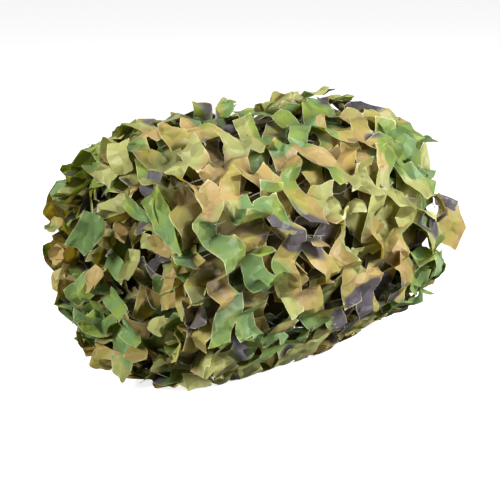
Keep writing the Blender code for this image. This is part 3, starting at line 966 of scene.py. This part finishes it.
def support_cords():
    routes = []
    for degrees in CORD_DEGREES:
        x = np.linspace(*CORD_ALONG, CORD_POINTS)
        place = np.stack([x, np.full_like(x, degrees)], axis=-1)
        angle = math.radians(degrees) + 0.05 * ripple(place, 0.07, seed=51)
        height = lump(x, angle) + bulge(x, angle) - CORD_DEPTH + 0.0035 * ripple(place, 0.05, seed=52)
        routes.append(on_roll(x, angle, height))
    for first, last in MOUTH_CORDS:
        t = np.linspace(0, 1, 10)[:, None]
        route = in_mouth(*first) * (1 - t) + in_mouth(*last) * t
        route[:, 2] -= 0.006 * np.sin(math.pi * t[:, 0])
        routes.append(route)
    curve = bpy.data.curves.new("support_cords", "CURVE")
    curve.dimensions = "3D"
    curve.bevel_depth = CORD_RADIUS
    curve.bevel_resolution = 1
    curve.use_fill_caps = True
    for route in routes:
        spline = curve.splines.new("POLY")
        spline.points.add(len(route) - 1)
        spline.points.foreach_set("co", np.c_[route + np.array(MIDDLE), np.ones(len(route))].ravel())
    return added("support_cords", curve)


CORE_SHARES = (0.05, 0.2, 0.35, 0.5, 0.65, 0.72, 0.78)
CORE_SINK = 0.026
CORE_ALONG = (-0.09, 0.13)
CORE_RINGS = 24


def core():
    """The inner turns' mass behind everything that shows."""
    around = 96
    rings = []
    for side in (-1, 1):
        ends = []
        for share in CORE_SHARES:
            ends.append((side, share, None))
        rings += ends if side < 0 else ends[::-1]
        if side < 0:
            rings += [(0, CORE_SHARES[-1], x) for x in np.linspace(*CORE_ALONG, CORE_RINGS)]
    verts, faces = [], []
    for side, share, x in rings:
        for k in range(around):
            angle = math.tau * k / around
            place = x
            if x is None:
                depth = float(end_depth(share)) if side < 0 else 0.0
                place = side * (ROLL_LENGTH / 2 - CORE_SINK - depth)
            bump = 1 + 0.03 * noise.noise(Vector((place * 40, 5 * math.cos(angle), 5 * math.sin(angle))))
            bump *= 1 - 0.16 * max(0.0, -math.cos(angle)) * min(1.0, max(0.0, -place / 0.1))
            y = HALF_WIDTH * share * bump * math.cos(angle)
            z = HALF_HEIGHT * (share * math.sin(angle) + float(section_scale(place))) - FLOOR_SAG
            verts.append((place, y, z))
    for i in range(len(rings) - 1):
        for k in range(around):
            a, b = i * around + k, i * around + (k + 1) % around
            faces.append((a, b, b + around, a + around))
    faces.append(tuple(range(around))[::-1])
    faces.append(tuple(range((len(rings) - 1) * around, len(rings) * around)))
    mesh = bpy.data.meshes.new("inner_turns")
    mesh.from_pydata([Vector(v) + MIDDLE for v in verts], [], faces)
    mesh.shade_smooth()
    return added("inner_turns", mesh)


# Where each colour of the print gathers on the rolled-up net: place along, degrees round it, share
# of the section, and radius
PATCHES = {
    "grey": (
        (-0.108, 156, 1.0, 0.016), (-0.085, 166, 1.0, 0.014), (-0.045, 168, 1.0, 0.026),
        (-0.012, 164, 1.0, 0.014), (0.010, 198, 1.0, 0.012), (0.025, 212, 1.0, 0.026),
        (0.075, 210, 1.0, 0.020), (-0.040, 230, 1.0, 0.016), (0.108, 86, 1.0, 0.012),
        (-0.060, 100, 1.0, 0.014), (0.172, 156, 1.0, 0.014), (-0.148, 118, 1.0, 0.012),
        (-0.176, 64, 0.62, 0.014), (-0.176, 276, 0.45, 0.014), (-0.170, 192, 0.88, 0.014),
        (-0.176, 330, 0.80, 0.012),
    ),
    "tan": (
        (0.052, 136, 1.0, 0.020), (0.060, 118, 1.0, 0.018), (-0.104, 126, 1.0, 0.030),
        (-0.075, 140, 1.0, 0.030), (-0.030, 142, 1.0, 0.024), (-0.068, 184, 1.0, 0.030),
        (-0.020, 190, 1.0, 0.030), (0.060, 184, 1.0, 0.026), (-0.100, 206, 1.0, 0.024),
        (-0.134, 130, 1.0, 0.020), (-0.176, 288, 0.85, 0.030), (-0.176, 345, 0.75, 0.020),
        (-0.165, 165, 0.88, 0.034), (-0.176, 200, 0.40, 0.022), (0.185, 176, 1.0, 0.030),
    ),
    "pale": (
        (-0.024, 148, 1.0, 0.014), (0.010, 170, 1.0, 0.026), (0.030, 152, 1.0, 0.024),
        (0.060, 168, 1.0, 0.022), (0.100, 164, 1.0, 0.026), (0.010, 188, 1.0, 0.016),
        (-0.100, 190, 1.0, 0.016), (-0.130, 150, 1.0, 0.018), (-0.140, 112, 1.0, 0.024),
        (-0.150, 74, 1.0, 0.020), (-0.176, 261, 0.80, 0.020), (-0.176, 110, 0.45, 0.022),
        (-0.150, 214, 1.0, 0.018), (-0.070, 116, 1.0, 0.020),
    ),
    "green": (
        (-0.165, 56, 0.95, 0.026), (0.110, 140, 1.0, 0.028), (0.130, 128, 1.0, 0.024),
        (0.020, 114, 1.0, 0.024), (0.070, 108, 1.0, 0.022), (-0.040, 122, 1.0, 0.022),
        (-0.128, 176, 1.0, 0.024), (-0.140, 194, 1.0, 0.024), (-0.060, 208, 1.0, 0.022),
        (-0.080, 226, 1.0, 0.026), (0.110, 206, 1.0, 0.026), (0.140, 196, 1.0, 0.020),
        (-0.150, 90, 1.0, 0.020), (-0.176, 38, 0.36, 0.026), (-0.176, 138, 0.74, 0.024),
        (-0.176, 275, 0.55, 0.030), (-0.176, 310, 0.68, 0.026), (-0.176, 225, 0.60, 0.026),
    ),
}
PATCH_PULL = 0.22
# How a leaf's colour and a patch's lean the print towards green, pale and grey
LEAN = {
    "green": (1, 0, -1),
    "pale": (-1, 1, -1),
    "grey": (0, 0, 1),
    "tan": (-1, -1, -0.4),
    "olive": (-0.2, 0.2, -1),
}
PATCH_PUSH = {
    "green": (1, -0.5, -0.5),
    "pale": (-0.7, 1, -0.5),
    "grey": (-0.4, -0.4, 1.25),
    "tan": (-0.55, -0.5, -0.5),
}


def print_bias(places):
    """Leanings of the print towards green, pale and grey at places on the net."""
    bias = np.zeros((len(places), 3))
    weights = np.full(len(places), 1e-3)
    patches = [(colour, *patch) for colour, group in PATCHES.items() for patch in group]
    for colour, along, degrees, share, radius in patches:
        skin = on_roll(along, math.radians(degrees), 0.0)
        middle = np.array([along, 0.0, HALF_HEIGHT * float(section_scale(along)) - FLOOR_SAG])
        far = np.linalg.norm(places - middle - (skin - middle) * share, axis=1) / radius
        weight = np.exp(-0.7 * far**2.5)
        bias += weight[:, None] * np.array(PATCH_PUSH[colour])
        weights += weight
    return PATCH_PULL * bias / np.maximum(weights, 1.0)[:, None]


# Colours of the cloth's print
TAN = (0.46, 0.33, 0.125)
OLIVE = (0.40, 0.345, 0.085)
PALE = (0.408, 0.42, 0.142)
GREEN = (0.170, 0.285, 0.095)
LEAF_GREEN = (0.25, 0.335, 0.060)
GREY = (0.125, 0.110, 0.122)
# The cut edges' pale colour: partly fraying, partly a painted highlight where the cut rims catch the light
WORN_EDGE_AND_RIM_HIGHLIGHT = (0.80, 0.78, 0.45)
EDGE_WEAR_AND_RIM_HIGHLIGHT = 0.65
THROUGH = (1.0, 0.84, 0.12)  # of the light that comes through the cloth
THROUGH_SHARE = 0.36
CORD_COLOURS = ((0.14, 0.14, 0.12), (0.28, 0.28, 0.24))
FACET_SCALE = 52
FACET_LEAN = 1.0
CREASE_BUMPS = ((46, 0.0028), (110, 0.0012))  # scale and depth
# The print's green, pale and grey layers: scale, offset and how little of the noise they take
PRINT_LAYERS = ((12, (3, 7, 0), 0.53), (11, (31, 5, 2), 0.50), (14, (13, 27, 5), 0.600))


def rgba(colour):
    return (*colour, 1.0)


def new_node(tree, kind, inputs, **settings):
    """A shader node with its settings, its inputs given as constants or as other nodes' outputs."""
    made = tree.nodes.new("ShaderNode" + kind)
    for name, value in settings.items():
        setattr(made, name, value)
    for socket, value in inputs.items():
        if isinstance(value, bpy.types.NodeSocket):
            tree.links.new(value, made.inputs[socket])
        else:
            made.inputs[socket].default_value = value
    return made


def new_material(name):
    material = bpy.data.materials.new(name)
    material.use_nodes = True
    return material, material.node_tree, material.node_tree.nodes["Principled BSDF"]


def noise_of(tree, vector, scale, detail, offset):
    shift = new_node(tree, "VectorMath", {0: vector, 1: offset}, operation="ADD")
    inputs = {"Scale": scale, "Detail": detail, "Roughness": 0.4, "Distortion": 0.4}
    return new_node(tree, "TexNoise", inputs | {"Vector": shift.outputs[0]}).outputs["Fac"]


def step_of(tree, value, low, width=0.034):
    inputs = {"From Min": low, "From Max": low + width, "Value": value}
    return new_node(tree, "MapRange", inputs).outputs["Result"]


def mixed(tree, factor, first, second, **settings):
    """A mix of two colours, each given as a constant or as a node's output."""
    first, second = (rgba(colour) if isinstance(colour, tuple) else colour for colour in (first, second))
    inputs = {"Factor": factor, "A": first, "B": second}
    return new_node(tree, "Mix", inputs, data_type="RGBA", **settings).outputs["Result"]


def attribute(tree, name):
    return new_node(tree, "Attribute", {}, attribute_name=name).outputs


def faceted(tree, flat):
    """A normal that leans its own way in each of the small flat patches between the cloth's creases."""
    patches = new_node(tree, "TexVoronoi", {"Scale": FACET_SCALE, "Vector": flat})
    inputs = {0: patches.outputs["Color"], 1: (FACET_LEAN,) * 3, 2: (-FACET_LEAN / 2,) * 3}
    lean = new_node(tree, "VectorMath", inputs, operation="MULTIPLY_ADD")
    surface = new_node(tree, "NewGeometry", {}).outputs["Normal"]
    leaning = new_node(tree, "VectorMath", {0: surface, 1: lean.outputs[0]}, operation="ADD")
    return new_node(tree, "VectorMath", {0: leaning.outputs[0]}, operation="NORMALIZE").outputs[0]


def cloth_colour(tree, flat):
    """The print, its drift and fading, the painted shade inside the roll, and the pale cut edges: fraying,
    with a painted highlight along their rims.
    """
    lean = new_node(tree, "SeparateXYZ", {0: attribute(tree, "print_bias")["Vector"]})
    layers = []
    for axis, (scale, offset, low) in enumerate(PRINT_LAYERS):
        value = noise_of(tree, flat, scale, 1.2, offset)
        leant = new_node(tree, "Math", {0: value, 1: lean.outputs[axis]}, operation="ADD")
        layers.append(step_of(tree, leant.outputs[0], low))
    green, pale, grey = layers
    # The dyes run a little towards yellow and olive from place to place
    drift = step_of(tree, noise_of(tree, flat, 24, 2.0, (41, 3, 8)), 0.44, 0.16)
    colour = mixed(tree, pale, mixed(tree, drift, TAN, OLIVE), PALE)
    colour = mixed(tree, green, colour, mixed(tree, drift, GREEN, LEAF_GREEN))
    colour = mixed(tree, grey, colour, GREY)
    # Slow fading of the dye from place to place
    worn = noise_of(tree, flat, 34, 3.0, (5, 1, 9))
    inputs = {"From Min": 0.3, "From Max": 0.7, "To Min": 0.82, "To Max": 1.12, "Value": worn}
    fade = new_node(tree, "MapRange", inputs)
    # Painted shade: the colour darkens to 0.30 of itself where daylight doesn't reach, inside the roll and
    # in the channel
    deep = new_node(tree, "MapRange", {"To Min": 0.30, "Value": attribute(tree, "light_reach_for_painted_shade")["Fac"]})
    for amount in (fade, deep):
        inputs = {0: colour, "Scale": amount.outputs["Result"]}
        colour = new_node(tree, "VectorMath", inputs, operation="SCALE").outputs[0]
    # Pale cut edges: fraying cloth, and a painted highlight along the rims
    near = step_of(tree, attribute(tree, "cut_edge")["Fac"], 0.82, 0.14)
    return mixed(tree, near, colour, mixed(tree, EDGE_WEAR_AND_RIM_HIGHLIGHT, colour, WORN_EDGE_AND_RIM_HIGHLIGHT))


def cloth_creases(tree, flat):
    """The normal of stiff coated cloth: flat patches, and creases coarse and fine."""
    warp = new_node(tree, "TexNoise", {"Scale": 30, "Vector": flat})
    inputs = {0: warp.outputs["Color"], 1: (0.02, 0.02, 0.0), 2: flat}
    bent = new_node(tree, "VectorMath", inputs, operation="MULTIPLY_ADD").outputs[0]
    normal = faceted(tree, bent)
    for scale, distance in CREASE_BUMPS:
        cells = new_node(tree, "TexVoronoi", {"Scale": scale, "Vector": bent})
        inputs = {"Strength": 0.8, "Distance": distance, "Height": cells.outputs["Distance"]}
        normal = new_node(tree, "Bump", inputs | {"Normal": normal}).outputs[0]
    return normal


def cloth_material():
    """Coated polyester, printed in four colours, with a satin sheen and some light through it."""
    material, tree, shader = new_material("camouflage_cloth")
    flat = new_node(tree, "UVMap", {}, uv_map="flat").outputs[0]
    colour = cloth_colour(tree, flat)
    tree.links.new(colour, shader.inputs["Base Color"])
    shader.inputs["Roughness"].default_value = 0.46
    shader.inputs["Specular IOR Level"].default_value = 0.36
    shader.inputs["Sheen Weight"].default_value = 0.05
    normal = cloth_creases(tree, flat)
    tree.links.new(normal, shader.inputs["Normal"])
    tinted = mixed(tree, 1.0, colour, THROUGH, blend_type="MULTIPLY")
    glow = new_node(tree, "BsdfTranslucent", {"Color": tinted, "Normal": normal})
    mix = new_node(tree, "MixShader", {"Fac": THROUGH_SHARE, 1: shader.outputs[0], 2: glow.outputs[0]})
    tree.links.new(mix.outputs[0], tree.nodes["Material Output"].inputs["Surface"])
    return material


def cord_material():
    """Pale grey twisted cord."""
    material, tree, shader = new_material("support_cord")
    place = new_node(tree, "TexCoord", {}).outputs["Object"]
    twist = new_node(tree, "TexWave", {"Scale": 300, "Vector": place}, bands_direction="DIAGONAL")
    worn = step_of(tree, noise_of(tree, place, 40, 2.0, (2, 9, 4)), 0.3, 0.4)
    tree.links.new(mixed(tree, worn, *CORD_COLOURS), shader.inputs["Base Color"])
    shader.inputs["Roughness"].default_value = 0.7
    bump = new_node(tree, "Bump", {"Distance": 0.0004, "Height": twist.outputs["Fac"]})
    tree.links.new(bump.outputs[0], shader.inputs["Normal"])
    return material


# The studio's lights: name, place, size and power, and how bright the rest of the room is
LIGHTS = (
    ("key", (0.75, -1.55, 1.2), 0.55, 62),
    ("top", (0.0, 0.6, 1.8), 0.9, 6),
    ("low", (0.3, -1.6, 0.15), 1.2, 30),
    ("front", (-1.5, 0.1, 0.9), 0.5, 42),
)
LIGHTS_AIM = Vector((0, 0, 0.12))
ROOM_LIGHT = 0.13


def camera_and_lights():
    bpy.context.scene.view_settings.view_transform = "Standard"
    place, _, _, back = view()
    data = bpy.data.cameras.new("camera")
    data.sensor_width = SENSOR_MM
    data.lens = VIEW_FOCUS / VIEW_SIZE * SENSOR_MM
    camera = added("camera", data)
    camera.location = place
    camera.rotation_mode = "QUATERNION"
    camera.rotation_quaternion = back.to_track_quat("Z", "Y")
    bpy.context.scene.camera = camera
    for name, place, size, power in LIGHTS:
        light = bpy.data.lights.new(name, "AREA")
        light.energy = power
        light.size = size
        lamp = added(name, light)
        lamp.location = place
        lamp.rotation_mode = "QUATERNION"
        lamp.rotation_quaternion = (Vector(place) - LIGHTS_AIM).to_track_quat("Z", "Y")
    world = bpy.data.worlds.new("studio")
    world.use_nodes = True
    background = world.node_tree.nodes["Background"]
    background.inputs["Color"].default_value = (1, 1, 1, 1)
    background.inputs["Strength"].default_value = ROOM_LIGHT
    bpy.context.scene.world = world


def floor():
    mesh = bpy.data.meshes.new("floor")
    mesh.from_pydata([(-6, -6, 0), (6, -6, 0), (6, 6, 0), (-6, 6, 0)], [], [(0, 1, 2, 3)])
    obj = added("floor", mesh)
    material, _, shader = new_material("floor")
    shader.inputs["Base Color"].default_value = (0.6, 0.6, 0.6, 1)
    shader.inputs["Roughness"].default_value = 0.8
    shader.inputs["Emission Color"].default_value = (1, 1, 1, 1)
    shader.inputs["Emission Strength"].default_value = 0.80
    obj.visible_diffuse = False
    obj.visible_glossy = False
    obj.visible_transmission = False
    mesh.materials.append(material)


camera_and_lights()
floor()
cloth = cloth_material()
pieces = [
    *outer_turns(),
    *end_turns("near_turns", -1, 3, 8.0, 0.012, 0.0125, 1.3, seed=5),
    *end_turns("far_turns", 1, 2, 8.0, 0.012, 0.0136, 1.25, seed=9),
    *loose_leaves(),
]
for obj, flat in pieces:
    obj.data.materials.append(cloth)
    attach(obj, "root")
inner = core()
# The core has no daylight attribute, so the cloth material paints it in the darkest painted shade
inner.data.materials.append(cloth)
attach(inner, "root")
cords = support_cords()
cords.data.materials.append(cord_material())
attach(cords, "root")
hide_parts("net_roll")

bpy.context.view_layer.update()
